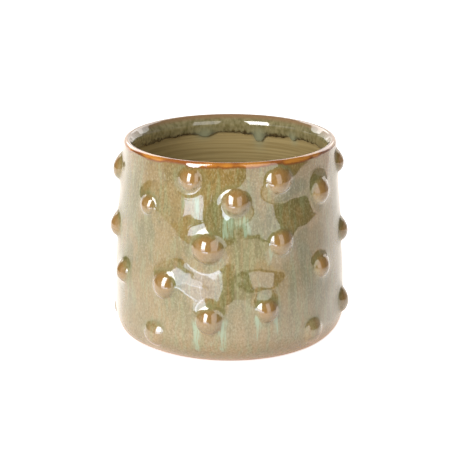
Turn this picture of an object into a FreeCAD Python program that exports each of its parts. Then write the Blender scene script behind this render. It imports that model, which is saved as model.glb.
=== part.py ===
import FreeCAD, Part

import math
import os

import Sketcher

# A squat stoneware planter: one wheel-thrown pot with a rounded lip and foot, and solid clay bosses luted
# on to the outside of its wall. Millimetres, +Z up. The origin is the middle of the foot, on the ground,
# and the front of the pot faces -Y.

# Driving dimensions: alias, value and what it measures. Angles are in degrees.
SIZES = [
    ("pot_height", 125, "ground to the crest of the lip"),
    ("rim_radius", 64.5, "axis to the outside of the lip"),
    ("wall_thickness", 4.6, "wall, and the diameter of the half-round lip"),
    ("foot_radius", 49.5, "axis to the outer edge of the flat foot"),
    ("corner_radius", 21, "outside round from the foot up into the wall"),
    ("floor_thickness", 5.5, "clay under the inside floor"),
    ("inner_corner_radius", 16, "inside round from the floor up into the wall"),
    ("foot_ring_width", 7, "width of the ring that the pot stands on"),
    ("foot_recess", 2, "height of the hollow inside the foot ring"),
    ("foot_edge_radius", 0.8, "easing of the foot ring's inner edges"),
    ("boss_dome_radius", 7, "radius of a boss's round top"),
    ("boss_stand", 5.4, "how far a boss stands out from the wall"),
    ("boss_steepest_angle", 60, "slope where the dome turns into the hollow round"),
    ("boss_fillet_radius", 4, "hollow round between the dome and the flank"),
    ("boss_fillet_sweep", 10, "angle that the hollow round eases the slope by"),
]

# The most that the easing of the foot ring may take of the height of the hollow inside it.
FOOT_EDGE_SHARE = 0.4
# How deep a boss is sunk before it is trimmed to the wall, as a share of how far it stands out.
SEAT_DEPTH_SHARE = 0.63

# One boss a line: its turn in degrees from the front towards the right, its height as a share of the pot's
# height, and its size as a share of the boss sizes above. They are set by hand, so no two rows match.
BOSS_TURNS_AND_SHARES = [
    (-88, 0.86, 1.00),
    (-46, 0.76, 0.86),
    (-21, 0.915, 1.00),
    (3, 0.815, 1.08),
    (26, 0.905, 1.02),
    (54, 0.815, 1.05),
    (82, 0.90, 0.96),
    (112, 0.80, 1.02),
    (135, 0.90, 0.98),
    (157, 0.81, 1.06),
    (181, 0.90, 0.95),
    (204, 0.82, 1.03),
    (227, 0.905, 1.00),
    (248, 0.77, 0.92),
    (-79, 0.59, 1.06),
    (-11, 0.59, 1.12),
    (26, 0.61, 0.94),
    (52, 0.45, 0.96),
    (79, 0.565, 1.00),
    (-65, 0.39, 1.00),
    (-34, 0.39, 1.08),
    (111, 0.44, 1.04),
    (134, 0.60, 0.97),
    (156, 0.44, 1.08),
    (180, 0.58, 1.02),
    (204, 0.45, 0.95),
    (227, 0.61, 1.05),
    (247, 0.39, 1.00),
    (-40, 0.135, 1.05),
    (-10, 0.24, 1.12),
    (18, 0.285, 0.94),
    (45, 0.14, 1.05),
    (75, 0.22, 1.02),
    (108, 0.13, 0.95),
    (133, 0.26, 1.04),
    (155, 0.14, 1.00),
    (180, 0.24, 1.06),
    (204, 0.13, 0.98),
    (229, 0.27, 1.08),
    (-101, 0.10, 1.00),
]

# The lip is a half circle over the wall.
LIP_RADIUS = "Sizes.wall_thickness / 2"
# The form that trims the bosses runs up past the lip by the radius of a boss's dome.
FORM_HEIGHT = "Sizes.pot_height + Sizes.boss_dome_radius"

# Elements of the pot's half section, in the order in which they are drawn.
UNDERSIDE, RECESS_WALL, FOOT, CORNER, WALL, OUTER_LIP = range(6)
INNER_LIP, INNER_WALL, INNER_CORNER, FLOOR, POT_AXIS = range(6, 11)
# Elements of the half section of the form that trims the bosses. The lip's circle only guides the wall.
FORM_FOOT, FORM_CORNER, FORM_WALL, FORM_TOP, FORM_AXIS, FORM_LIP = range(6)
# Elements of a boss's half section.
DOME, FILLET, FLANK, SUNK_BASE, BOSS_AXIS = range(5)
# Ends of an element, and a sketch's own origin and axes.
START, END, CENTRE = range(1, 4)
ORIGIN = (-1, START)
GROUND_LINE, TURNING_LINE = range(-1, -3, -1)


def make_sheet(doc):
    """The table of driving dimensions, each with an alias."""
    sheet = doc.addObject("Spreadsheet::Sheet", "Sizes")
    for row, (alias, value, note) in enumerate(SIZES, start=1):
        sheet.set(f"A{row}", alias)
        sheet.set(f"B{row}", str(value))
        sheet.setAlias(f"B{row}", alias)
        sheet.set(f"C{row}", note)
    doc.recompute()
    return sheet


def new_section(body, name):
    """An empty sketch in a body's upright XZ plane."""
    upright = next(plane for plane in body.Origin.OriginFeatures if plane.Role == "XZ_Plane")
    section = body.newObject("Sketcher::SketchObject", name)
    section.AttachmentSupport = [(upright, "")]
    section.MapMode = "FlatFace"
    return section


def constrain(section, kind, *where):
    section.addConstraint(Sketcher.Constraint(kind, *where))


def dimension(section, kind, where, expression):
    """Adds a dimension and binds it to the sheet."""
    value = section.evalExpression(expression)
    index = section.addConstraint(Sketcher.Constraint(kind, *where, float(value)))
    section.setExpression(f"Constraints[{index}]", expression)


def add_line(section, start, end):
    section.addGeometry(Part.LineSegment(FreeCAD.Vector(*start, 0), FreeCAD.Vector(*end, 0)), False)


def add_arc(section, centre, radius, start_degrees, end_degrees):
    """An arc drawn anticlockwise."""
    circle = Part.Circle(FreeCAD.Vector(*centre, 0), FreeCAD.Vector(0, 0, 1), radius)
    arc = Part.ArcOfCircle(circle, math.radians(start_degrees), math.radians(end_degrees))
    section.addGeometry(arc, False)


def turn(body, section, name):
    """Turns a half section about its upright axis into a solid."""
    solid = body.newObject("PartDesign::Revolution", name)
    solid.Profile = section
    solid.ReferenceAxis = (section, ["V_Axis"])
    return solid


def draw_pot_section(section, sheet):
    """Half section of the pot: foot ring, rounded corner, leaning wall, half-round lip and the inside."""
    lip_radius = sheet.wall_thickness / 2
    lip_height = sheet.pot_height - lip_radius
    lip_centre = (sheet.rim_radius - lip_radius, lip_height)
    ring_radius = sheet.foot_radius - sheet.foot_ring_width
    belly_radius = sheet.foot_radius + sheet.corner_radius
    inner_radius = sheet.rim_radius - sheet.wall_thickness
    floor_height = sheet.foot_recess + sheet.floor_thickness
    inner_corner_height = floor_height + sheet.inner_corner_radius
    inner_corner_centre = inner_radius - sheet.inner_corner_radius

    add_line(section, (0, sheet.foot_recess), (ring_radius, sheet.foot_recess))
    add_line(section, (ring_radius, sheet.foot_recess), (ring_radius, 0))
    add_line(section, (ring_radius, 0), (sheet.foot_radius, 0))
    add_arc(section, (sheet.foot_radius, sheet.corner_radius), sheet.corner_radius, -90, 0)
    add_line(section, (belly_radius, sheet.corner_radius), (sheet.rim_radius, lip_height))
    add_arc(section, lip_centre, lip_radius, 0, 90)
    add_arc(section, lip_centre, lip_radius, 90, 180)
    add_line(section, (inner_radius, lip_height), (inner_radius, inner_corner_height))
    add_arc(section, (inner_corner_centre, inner_corner_height), sheet.inner_corner_radius, -90, 0)
    add_line(section, (inner_corner_centre, floor_height), (0, floor_height))
    add_line(section, (0, floor_height), (0, sheet.foot_recess))

    for level in (UNDERSIDE, FOOT, FLOOR):
        constrain(section, "Horizontal", level)
    for upright in (RECESS_WALL, POT_AXIS):
        constrain(section, "Vertical", upright)
    constrain(section, "Coincident", UNDERSIDE, END, RECESS_WALL, START)
    constrain(section, "Coincident", RECESS_WALL, END, FOOT, START)
    constrain(section, "Coincident", FLOOR, END, POT_AXIS, START)
    constrain(section, "Coincident", POT_AXIS, END, UNDERSIDE, START)
    constrain(section, "Tangent", FOOT, END, CORNER, START)
    constrain(section, "Tangent", CORNER, END, WALL, START)
    constrain(section, "Tangent", WALL, END, OUTER_LIP, START)
    constrain(section, "Tangent", OUTER_LIP, END, INNER_LIP, START)
    constrain(section, "Tangent", INNER_LIP, END, INNER_WALL, START)
    constrain(section, "Tangent", INNER_WALL, END, INNER_CORNER, END)
    constrain(section, "Tangent", INNER_CORNER, START, FLOOR, START)
    constrain(section, "Equal", OUTER_LIP, INNER_LIP)
    constrain(section, "Vertical", OUTER_LIP, END, OUTER_LIP, CENTRE)
    constrain(section, "Parallel", WALL, INNER_WALL)
    constrain(section, "PointOnObject", UNDERSIDE, START, TURNING_LINE)
    constrain(section, "PointOnObject", FOOT, START, GROUND_LINE)

    dimension(section, "DistanceX", (*ORIGIN, FOOT, END), "Sizes.foot_radius")
    dimension(section, "DistanceX", (FOOT, START, FOOT, END), "Sizes.foot_ring_width")
    dimension(section, "DistanceY", (*ORIGIN, UNDERSIDE, START), "Sizes.foot_recess")
    dimension(section, "DistanceY", (POT_AXIS, END, POT_AXIS, START), "Sizes.floor_thickness")
    dimension(section, "Radius", (CORNER,), "Sizes.corner_radius")
    dimension(section, "Radius", (INNER_CORNER,), "Sizes.inner_corner_radius")
    dimension(section, "Radius", (OUTER_LIP,), LIP_RADIUS)
    dimension(section, "DistanceX", (*ORIGIN, OUTER_LIP, CENTRE), f"Sizes.rim_radius - {LIP_RADIUS}")
    dimension(section, "DistanceY", (*ORIGIN, OUTER_LIP, END), "Sizes.pot_height")


def ease_foot_ring(doc, body, solid, sheet):
    """Rounds the two inner edges of the foot ring."""
    ring_radius = sheet.foot_radius - sheet.foot_ring_width
    doc.recompute()
    names = []
    for number, edge in enumerate(solid.Shape.Edges, start=1):
        if isinstance(edge.Curve, Part.Circle) and math.isclose(edge.Curve.Radius, ring_radius):
            names.append(f"Edge{number}")
    easing = body.newObject("PartDesign::Fillet", "FootEasing")
    easing.Base = (solid, names)
    easing.setExpression("Radius", f"min(Sizes.foot_edge_radius; Sizes.foot_recess * {FOOT_EDGE_SHARE})")
    body.Tip = easing


def make_pot(doc, sheet):
    """The thrown pot, turned from one half section."""
    body = doc.addObject("PartDesign::Body", "ThrownPot")
    body.Label = "thrown_pot"
    section = new_section(body, "PotSection")
    draw_pot_section(section, sheet)
    solid = turn(body, section, "PotSolid")
    ease_foot_ring(doc, body, solid, sheet)
    return body


def make_wall_form(doc, sheet):
    """The pot's outside as one solid, with the wall carried straight on up past the lip."""
    body = doc.addObject("PartDesign::Body", "WallForm")
    section = new_section(body, "FormSection")
    lip_radius = sheet.wall_thickness / 2
    lip_height = sheet.pot_height - lip_radius
    belly_radius = sheet.foot_radius + sheet.corner_radius
    top_height = sheet.pot_height + sheet.boss_dome_radius

    add_line(section, (0, 0), (sheet.foot_radius, 0))
    add_arc(section, (sheet.foot_radius, sheet.corner_radius), sheet.corner_radius, -90, 0)
    add_line(section, (belly_radius, sheet.corner_radius), (sheet.rim_radius, top_height))
    add_line(section, (sheet.rim_radius, top_height), (0, top_height))
    add_line(section, (0, top_height), (0, 0))
    lip_centre = FreeCAD.Vector(sheet.rim_radius - lip_radius, lip_height, 0)
    section.addGeometry(Part.Circle(lip_centre, FreeCAD.Vector(0, 0, 1), lip_radius), True)

    constrain(section, "Coincident", FORM_FOOT, START, *ORIGIN)
    constrain(section, "Horizontal", FORM_FOOT)
    constrain(section, "Tangent", FORM_FOOT, END, FORM_CORNER, START)
    constrain(section, "Tangent", FORM_CORNER, END, FORM_WALL, START)
    constrain(section, "Tangent", FORM_WALL, FORM_LIP)
    constrain(section, "Coincident", FORM_WALL, END, FORM_TOP, START)
    constrain(section, "Horizontal", FORM_TOP)
    constrain(section, "Coincident", FORM_TOP, END, FORM_AXIS, START)
    constrain(section, "Vertical", FORM_AXIS)
    constrain(section, "Coincident", FORM_AXIS, END, FORM_FOOT, START)

    dimension(section, "DistanceX", (FORM_FOOT, START, FORM_FOOT, END), "Sizes.foot_radius")
    dimension(section, "Radius", (FORM_CORNER,), "Sizes.corner_radius")
    dimension(section, "Radius", (FORM_LIP,), LIP_RADIUS)
    dimension(section, "DistanceX", (*ORIGIN, FORM_LIP, CENTRE), f"Sizes.rim_radius - {LIP_RADIUS}")
    dimension(section, "DistanceY", (*ORIGIN, FORM_LIP, CENTRE), f"Sizes.pot_height - {LIP_RADIUS}")
    dimension(section, "DistanceY", (*ORIGIN, FORM_TOP, END), FORM_HEIGHT)
    turn(body, section, "FormSolid")
    doc.recompute()
    return body, section


def draw_boss_section(section, sheet, size_share):
    """Half section of a boss about its own axis, with the wall's surface at height zero."""
    dome_radius = sheet.boss_dome_radius * size_share
    stand = sheet.boss_stand * size_share
    seat_depth = stand * SEAT_DEPTH_SHARE
    fillet_radius = sheet.boss_fillet_radius * size_share
    steepest = math.radians(sheet.boss_steepest_angle)
    slope = math.radians(sheet.boss_steepest_angle - sheet.boss_fillet_sweep)
    dome_centre = stand - dome_radius
    reach = dome_radius + fillet_radius
    fillet_centre = (reach * math.sin(steepest), dome_centre + reach * math.cos(steepest))
    flank_radius = fillet_centre[0] - fillet_radius * math.sin(slope)
    flank_height = fillet_centre[1] - fillet_radius * math.cos(slope)
    base_radius = flank_radius + (flank_height + seat_depth) / math.tan(slope)

    dome_end_degrees = 90 - sheet.boss_steepest_angle
    fillet_start_degrees = dome_end_degrees + 180
    fillet_end_degrees = fillet_start_degrees + sheet.boss_fillet_sweep
    add_arc(section, (0, dome_centre), dome_radius, dome_end_degrees, 90)
    add_arc(section, fillet_centre, fillet_radius, fillet_start_degrees, fillet_end_degrees)
    add_line(section, (flank_radius, flank_height), (base_radius, -seat_depth))
    add_line(section, (base_radius, -seat_depth), (0, -seat_depth))
    add_line(section, (0, -seat_depth), (0, stand))

    constrain(section, "Tangent", DOME, START, FILLET, START)
    constrain(section, "Tangent", FILLET, END, FLANK, START)
    constrain(section, "Coincident", FLANK, END, SUNK_BASE, START)
    constrain(section, "Coincident", SUNK_BASE, END, BOSS_AXIS, START)
    constrain(section, "Coincident", BOSS_AXIS, END, DOME, END)
    constrain(section, "Horizontal", SUNK_BASE)
    constrain(section, "Vertical", BOSS_AXIS)
    constrain(section, "PointOnObject", DOME, END, TURNING_LINE)
    constrain(section, "PointOnObject", DOME, CENTRE, TURNING_LINE)

    radius = f"Sizes.boss_dome_radius * {size_share}"
    stand_size = f"Sizes.boss_stand * {size_share}"
    meeting = f"{radius} * sin(Sizes.boss_steepest_angle * 1 deg)"
    dimension(section, "Radius", (DOME,), radius)
    dimension(section, "Radius", (FILLET,), f"Sizes.boss_fillet_radius * {size_share}")
    dimension(section, "DistanceY", (*ORIGIN, DOME, END), stand_size)
    dimension(section, "DistanceX", (*ORIGIN, DOME, START), meeting)
    dimension(section, "DistanceY", (SUNK_BASE, END, *ORIGIN), f"{stand_size} * {SEAT_DEPTH_SHARE}")
    dimension(section, "Angle", (FLANK,), "(Sizes.boss_fillet_sweep - Sizes.boss_steepest_angle) * 1 deg")


def seat_on_wall(form_section, turn_degrees, height):
    """Placement of a boss: its base on the outside of the pot at that height, its axis square to the wall."""
    wall = form_section.Geometry[FORM_WALL]
    corner = form_section.Geometry[FORM_CORNER]
    if height >= wall.StartPoint.y:
        along = wall.EndPoint - wall.StartPoint
        point = wall.StartPoint + along * ((height - wall.StartPoint.y) / along.y)
        normal = FreeCAD.Vector(along.y, -along.x, 0).normalize()
    else:
        rise = height - corner.Center.y
        normal = FreeCAD.Vector(math.sqrt(corner.Radius**2 - rise**2), rise, 0).normalize()
        point = corner.Center + normal * corner.Radius
    angle = math.radians(turn_degrees)
    outwards = FreeCAD.Vector(math.sin(angle), -math.cos(angle), 0)
    upwards = FreeCAD.Vector(0, 0, 1)
    base = outwards * point.x + upwards * point.y
    axis = outwards * normal.x + upwards * normal.y
    return FreeCAD.Placement(base, FreeCAD.Rotation(upwards, axis))


def make_boss(doc, sheet, form, form_section, number, turn_degrees, height_share, size_share):
    """One clay boss, trimmed underneath to the curve of the wall that it is luted to."""
    blank = doc.addObject("PartDesign::Body", f"BossBlank{number:02d}")
    section = new_section(blank, f"BossSection{number:02d}")
    draw_boss_section(section, sheet, size_share)
    turn(blank, section, f"BossSolid{number:02d}")
    blank.Placement = seat_on_wall(form_section, turn_degrees, height_share * sheet.pot_height)
    boss = doc.addObject("Part::Cut", f"Boss{number:02d}")
    boss.Label = f"boss_{number:02d}"
    boss.Base = blank
    boss.Tool = form
    return boss


def check(doc, pieces):
    """Stops if any object failed, or if a piece isn't one valid solid."""
    for item in doc.Objects:
        if {"Invalid", "Error"} & set(item.State):
            raise RuntimeError(f"{item.Label} failed: {item.State}")
    for piece in pieces:
        shape = piece.Shape
        if shape.isNull() or not shape.isValid() or len(shape.Solids) != 1:
            raise RuntimeError(f"{piece.Label} isn't one valid solid")


def main():
    doc = FreeCAD.newDocument("Planter")
    sheet = make_sheet(doc)
    pot = make_pot(doc, sheet)
    form, form_section = make_wall_form(doc, sheet)
    pieces = [pot]
    for number, place in enumerate(BOSS_TURNS_AND_SHARES, start=1):
        pieces.append(make_boss(doc, sheet, form, form_section, number, *place))
    doc.recompute()
    check(doc, pieces)
    os.makedirs("parts", exist_ok=True)
    for piece in pieces:
        piece.Shape.exportStep(os.path.join("parts", piece.Label + ".step"))
    box = Part.makeCompound([piece.Shape for piece in pieces]).optimalBoundingBox()
    clay = sum(piece.Shape.Volume for piece in pieces)
    print(f"{len(pieces)} pieces, {clay:.0f} mm3 of clay")
    print(f"{box.XLength:.1f} x {box.YLength:.1f} x {box.ZLength:.1f} mm over all")


main()
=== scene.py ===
# %% [markdown]
# # A planter of glazed stoneware
# The object is one wheel-thrown pot with round bosses of clay stuck on to its wall, all under one glossy
# reactive glaze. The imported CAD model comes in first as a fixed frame. Every piece is then made in that
# frame, in metres, with +Z up and the front towards -Y.

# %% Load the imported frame
import math

import bpy
import numpy as np
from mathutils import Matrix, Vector


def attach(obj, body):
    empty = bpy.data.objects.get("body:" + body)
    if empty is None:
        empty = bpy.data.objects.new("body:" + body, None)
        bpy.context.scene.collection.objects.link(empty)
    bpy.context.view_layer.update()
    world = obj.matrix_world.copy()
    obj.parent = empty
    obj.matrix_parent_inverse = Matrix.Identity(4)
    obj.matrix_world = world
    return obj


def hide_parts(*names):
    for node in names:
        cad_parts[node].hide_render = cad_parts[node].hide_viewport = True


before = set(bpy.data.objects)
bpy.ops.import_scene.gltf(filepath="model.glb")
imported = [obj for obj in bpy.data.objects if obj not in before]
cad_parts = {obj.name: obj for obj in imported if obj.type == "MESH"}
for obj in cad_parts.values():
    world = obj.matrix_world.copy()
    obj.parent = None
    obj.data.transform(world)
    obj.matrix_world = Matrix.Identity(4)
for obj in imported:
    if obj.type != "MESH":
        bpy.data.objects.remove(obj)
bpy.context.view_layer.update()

# %% [markdown]
# ## The camera
# The photograph was taken with a long lens from a little above, so the mouth is a shallow ellipse and the
# sides hardly converge. The distance, tilt and focal length were fitted to the pot's outline. The picture
# is square, so a focal length in pixels turns into a lens length by the sensor's width.

# %% Camera
MM = 0.001
IMAGE_PX = 460
FOCAL_PX = 2063
CAMERA_DISTANCE = 1271 * MM
CAMERA_TILT = math.radians(16.4)
POT_MIDDLE = 62.5 * MM
# The pot's middle lies this far below the middle of the picture.
MIDDLE_BELOW_PX = 5.7

camera_place = (
    0,
    -CAMERA_DISTANCE * math.cos(CAMERA_TILT),
    POT_MIDDLE + CAMERA_DISTANCE * math.sin(CAMERA_TILT),
)
camera_turn = (math.pi / 2 - CAMERA_TILT + MIDDLE_BELOW_PX / FOCAL_PX, 0, 0)
bpy.ops.object.camera_add(location=camera_place, rotation=camera_turn)
camera = bpy.context.object
camera.data.lens = camera.data.sensor_width * FOCAL_PX / IMAGE_PX
bpy.context.scene.camera = camera
print(f"camera with a {camera.data.lens:.1f} mm lens")

# %% [markdown]
# ## Drawing a section
# A thrown pot is a section turned about an axis, so it can be modelled as a potter draws it: half a
# section, then one turn. The section starts as a single point, a small plane whose corners are merged.
# Extrude drags its end along the straight runs, and a small Spin in the section's own plane drags it round
# the curves. All lengths here are in millimetres.

# %% Tools for drawing a section
SEED_PLANE = 2 * MM


def start_section(name, reach, height):
    """A new piece of one point, at a distance from the axis and a height."""
    bpy.ops.object.select_all(action="DESELECT")
    bpy.ops.mesh.primitive_plane_add(size=SEED_PLANE)
    piece = bpy.context.object
    piece.name = name
    piece.data.name = name
    bpy.ops.object.mode_set(mode="EDIT")
    bpy.ops.mesh.merge(type="CENTER")
    bpy.ops.transform.translate(value=(reach * MM, 0, height * MM))
    return piece


def run_by(out, up, steps):
    """Drags the end of the section along a straight run."""
    step = (out / steps * MM, 0, up / steps * MM)
    for _ in range(steps):
        bpy.ops.mesh.extrude_region_move(TRANSFORM_OT_translate={"value": step})


def round_about(reach, height, angle, steps):
    """Drags the end of the section round a centre, anticlockwise with +X to the right."""
    centre = (reach * MM, 0, height * MM)
    bpy.ops.mesh.spin(steps=steps, angle=angle, center=centre, axis=(0, 1, 0))


# %% [markdown]
# ## Turning a section
# A Spin of hundreds of steps would turn the section too, but slowly. A Screw modifier with no rise gives
# the same surface at once. The turn leaves a seam, and poles where the section meets the axis, so points
# that lie together are merged, and then the normals are made to point out.

# %% Tool for turning a section
# Points that are closer than this, in millimetres, are one point.
HAIR = 0.01


def turn_section(piece, steps):
    """Turns the section about the upright axis and closes its seam and poles."""
    bpy.ops.object.mode_set(mode="OBJECT")
    screw = piece.modifiers.new("turned", "SCREW")
    screw.steps = steps
    screw.render_steps = steps
    screw.use_merge_vertices = True
    screw.merge_threshold = HAIR * MM
    bpy.ops.object.modifier_apply(modifier=screw.name)
    bpy.ops.object.mode_set(mode="EDIT")
    bpy.ops.mesh.select_all(action="SELECT")
    bpy.ops.mesh.remove_doubles(threshold=HAIR * MM)
    bpy.ops.mesh.normals_make_consistent(inside=False)
    bpy.ops.object.mode_set(mode="OBJECT")
    bpy.ops.object.shade_smooth()
    print(f"{piece.name}: {len(piece.data.polygons)} faces")


# %% [markdown]
# ## The lean of the wall
# The wall leans in a little, but its lean isn't typed in. It follows from the two circles that the wall
# touches, the large round at the foot and the lip of the CAD section. A line along the wall is then known
# by its distance from the origin.

# %% Lean of the wall
HEIGHT = 125.0
RIM = 64.5
WALL = 4.6
FOOT = 49.5
CORNER = 21.0

corner_centre = np.array((FOOT, CORNER))
cad_lip_centre = np.array((RIM - WALL / 2, HEIGHT - WALL / 2))
between = cad_lip_centre - corner_centre
LEAN = math.atan2(between[1], between[0]) - math.acos((CORNER - WALL / 2) / np.hypot(*between))
wall_normal = np.array((math.cos(LEAN), math.sin(LEAN)))
wall_up = np.array((-math.sin(LEAN), math.cos(LEAN)))
outer_line = wall_normal @ corner_centre + CORNER
inner_line = outer_line - WALL


def place_on(line, height):
    """The place at a height on a line along the wall."""
    return np.array(((line - wall_normal[1] * height) / wall_normal[0], height))


print(f"the wall leans in by {math.degrees(LEAN):.2f} degrees")

# %% [markdown]
# ## The pot
# One piece of clay: a foot ring with a shallow hollow inside it, a generous round up into the wall, a lip,
# and the same again inside. A cylinder with its edges bevelled would be close, but the lip seen in the
# photograph is rounder outside than in and slopes down to the inner wall, which a drawn section gives.

# %% The pot's section, turned
INNER_CORNER = 16.0
INNER_FLOOR = 7.5
RING_WIDTH = 7.0
RECESS = 2.0
EASING = 0.8
LIP = 2.0
LIP_SLOPE = math.radians(33)
LIP_SLOPE_DROP = 8.0

lip_centre = place_on(outer_line - LIP, HEIGHT - LIP)
lip_inner_end = lip_centre + LIP * np.array((-math.cos(LIP_SLOPE), math.sin(LIP_SLOPE)))
slope_foot = place_on(inner_line, HEIGHT - LIP_SLOPE_DROP)
inner_corner_centre = place_on(inner_line - INNER_CORNER, INNER_FLOOR + INNER_CORNER)
WALL_LENGTH = (lip_centre - corner_centre) @ wall_up
inner_length = (slope_foot - inner_corner_centre) @ wall_up
ring_inside = FOOT - RING_WIDTH

pot = start_section("glazed_pot", 0, RECESS)
run_by(ring_inside - EASING, 0, steps=6)
round_about(ring_inside - EASING, RECESS - EASING, -math.pi / 2, steps=4)
run_by(0, 2 * EASING - RECESS, steps=1)
round_about(ring_inside + EASING, EASING, math.pi / 2, steps=4)
run_by(RING_WIDTH - EASING, 0, steps=3)
round_about(*corner_centre, math.pi / 2 + LEAN, steps=32)
run_by(*(wall_up * WALL_LENGTH), steps=112)
round_about(*lip_centre, math.pi - LIP_SLOPE - LEAN, steps=14)
run_by(*(slope_foot - lip_inner_end), steps=6)
run_by(*(-wall_up * inner_length), steps=54)
round_about(*inner_corner_centre, -math.pi / 2 - LEAN, steps=16)
run_by(-inner_corner_centre[0], 0, steps=10)
turn_section(pot, steps=360)

# %% [markdown]
# ## The outside as a surface
# The bosses, the runs of glaze and the unevenness of the wall all need to know where they are on the pot.
# A point on the outside has two plain measures: its turn from the front, and its length up the wall from
# where the straight part starts, which is less than zero on the round of the foot. These helpers go from
# one to the other.

# %% Places on the outside
def outside_at(length):
    """Distance from the axis, height and slope of the outside, at a length up the wall."""
    low = np.minimum(length, 0) / CORNER
    high = np.maximum(length - WALL_LENGTH, 0) / LIP
    slope = LEAN + low + high
    on_lip = length > WALL_LENGTH
    middle = corner_centre + np.clip(length, 0, WALL_LENGTH)[..., None] * wall_up
    middle = np.where(on_lip[..., None], lip_centre, middle)
    radius = np.where(on_lip, LIP, CORNER)
    reach = middle[..., 0] + radius * np.cos(slope)
    height = middle[..., 1] + radius * np.sin(slope)
    return reach, height, slope


def length_at(reach, height):
    """Length up the wall of the nearest place on the outside."""
    out = reach - corner_centre[0]
    up = height - corner_centre[1]
    along = out * wall_up[0] + up * wall_up[1]
    angle = np.arctan2(up, np.maximum(out, HAIR)) - LEAN
    return np.where(along > 0, along, angle * CORNER)


def angle_from(turns, turn):
    """Angles to the right of a turn, the short way round the pot."""
    return (turns - turn + math.pi) % math.tau - math.pi


def across_from(turns, lengths, turn):
    """How far places on the outside lie to the right of a turn, measured round the pot."""
    return angle_from(turns, turn) * outside_at(lengths)[0]


def place_off_wall(turns, lengths, heights):
    """Points at heights above the outside."""
    reach, level, slope = outside_at(lengths)
    out = reach + heights * np.cos(slope)
    return np.stack((out * np.sin(turns), -out * np.cos(turns), level + heights * np.sin(slope)), axis=1)


# %% [markdown]
# ## Points as arrays
# Moving points one by one is slow in Python. Blender can hand over all points of a mesh as one list of
# numbers and take it back in the same way, so the shaping below is done on arrays.

# %% Tools for points
def vertices_of(piece):
    """A piece's points as an array, in millimetres."""
    flat = np.empty(len(piece.data.vertices) * 3)
    piece.data.vertices.foreach_get("co", flat)
    return flat.reshape(-1, 3) / MM


def move_vertices(piece, places):
    """Puts a piece's points at new places, in millimetres."""
    piece.data.vertices.foreach_set("co", (places * MM).ravel())
    piece.data.update()


def turns_of(points):
    """Turns of points from the front, to the right."""
    return np.arctan2(points[:, 0], -points[:, 1])


def ease(values, start, end):
    """A soft step from 0 at start to 1 at end."""
    share = np.clip((values - start) / (end - start), 0, 1)
    return share * share * (3 - 2 * share)


# %% [markdown]
# ## Where the bosses sit
# Each boss is its own CAD node, so its place and size are read from the frame and not typed in again. The
# middle of a node's points tells where it is, and the farthest of them from the wall tells how far it
# stands out, which gives its size.

# %% Places of the bosses
BOSS_STAND = 5.4
boss_names = sorted(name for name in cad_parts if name.startswith("boss_"))
boss_places = {}
for name in boss_names:
    points = vertices_of(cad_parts[name])
    middle = points.mean(axis=0)
    reaches = np.hypot(points[:, 0], points[:, 1])
    wall_reach, wall_height, wall_slope = outside_at(length_at(reaches, points[:, 2]))
    stands = (reaches - wall_reach) * np.cos(wall_slope) + (points[:, 2] - wall_height) * np.sin(wall_slope)
    turn = math.atan2(middle[0], -middle[1])
    length = float(length_at(np.hypot(*middle[:2]), middle[2]))
    boss_places[name] = (turn, length, stands.max() / BOSS_STAND)
boss_sizes = [size for turn, length, size in boss_places.values()]
print(f"{len(boss_sizes)} bosses, {min(boss_sizes):.2f} to {max(boss_sizes):.2f} of the usual size")

# %% [markdown]
# ## A wall shaped by hand
# On the real pot the wall is nowhere quite true. Pressing on a ball of clay leaves a soft swelling around
# it, throwing leaves soft rings, and the hand leaves lumps and dents. All this is about a millimetre, but
# a gloss glaze mirrors the studio, so it bends every reflection. Sculpting could give it, but not the same
# twice, so one function says how far the wall stands out at each place. The pot and later the bosses
# follow it.

# %% How far the wall stands out
# The swelling round a boss, its reach, and how far the wall bellies out half way up.
SWELL = 0.65
SWELL_REACH = 10.5
BARREL = 0.6
# Soft rings left by throwing: spacing, depth, the length up the wall of one crest, and its sway in radians.
RING_SPACING = 40.0
RING_DEPTH = 0.2
RING_CREST = 24.0
RING_SWAY = 0.5
RING_SWAY_TURN = 1.0
# Lumps and dents: turn in degrees, length up the wall, reach across, reach up, height.
LUMPS = (
    (-90, 42, 34, 34, 1.2),
    (-62, -14, 17, 17, 2.0),
    (-17, 12, 14, 20, 0.8),
    (-17, 76, 11, 9.5, 0.62),
    (-15, 68.5, 5, 2.5, 0.14),
    (42, 81, 18, 14, -0.9),
    (14, 26.3, 7.5, 7, 0.21),
    (20.5, 28.7, 7.5, 7, 0.21),
)
# The truing on the wheel ends between two lengths up the wall at the foot, and this far below the lip.
FOOT_TRUED = -31
FOOT_FREE = -6
LIP_FREE = 24


def trued(lengths):
    """0 at the lip and the foot, which were trued on the wheel, and 1 on the wall between."""
    return ease(lengths, FOOT_TRUED, FOOT_FREE) * ease(lengths, WALL_LENGTH, WALL_LENGTH - LIP_FREE)


def wall_lift(turns, lengths):
    """How far the wall stands out of its turned shape."""
    lift = BARREL * np.sin(np.clip(lengths / WALL_LENGTH, 0, 1) * math.pi)
    sway = RING_SWAY * np.sin(turns + RING_SWAY_TURN)
    lift += RING_DEPTH * np.cos((lengths - RING_CREST) / RING_SPACING * math.tau + sway)
    for turn, length, reach_across, reach_up, height in LUMPS:
        across = across_from(turns, lengths, math.radians(turn))
        lift += height * np.exp(-((across / reach_across) ** 2) - ((lengths - length) / reach_up) ** 2)
    for turn, length, size in boss_places.values():
        away = np.hypot(across_from(turns, lengths, turn), lengths - length)
        lift += SWELL * size * np.exp(-((away / SWELL_REACH) ** 2))
    return lift * trued(lengths)


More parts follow.
